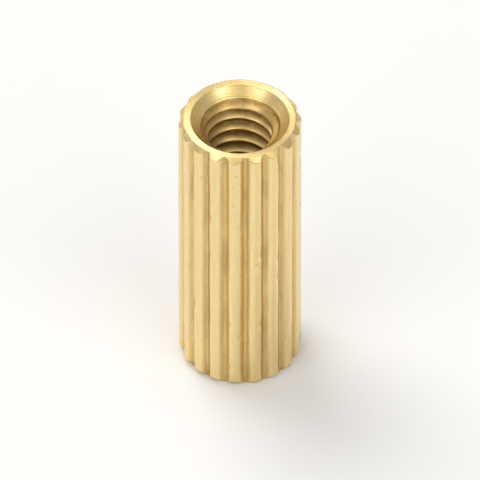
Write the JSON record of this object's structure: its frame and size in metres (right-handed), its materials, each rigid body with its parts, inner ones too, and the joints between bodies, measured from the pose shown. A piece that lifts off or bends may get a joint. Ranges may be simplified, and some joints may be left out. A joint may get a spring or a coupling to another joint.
{
  "type": "knurled round standoff",
  "caption": "Round brass standoff with a straight knurl along its whole side and a countersunk metric thread right through it.",
  "frame": {"origin": "centre of the bottom end face, on the bore axis", "axes": "+Z along the bore, from the end it stands on to the other; the two ends are alike, and the knurl has a ridge 5 degrees from +X"},
  "size_m": [0.0032, 0.0032, 0.008],
  "materials": {
    "brass": "satin, as turned, with drawn knurl marks along the side and turning rings on the ends"
  },
  "bodies": {
    "root": {"standoff": "brass"}
  },
  "joints": []
}
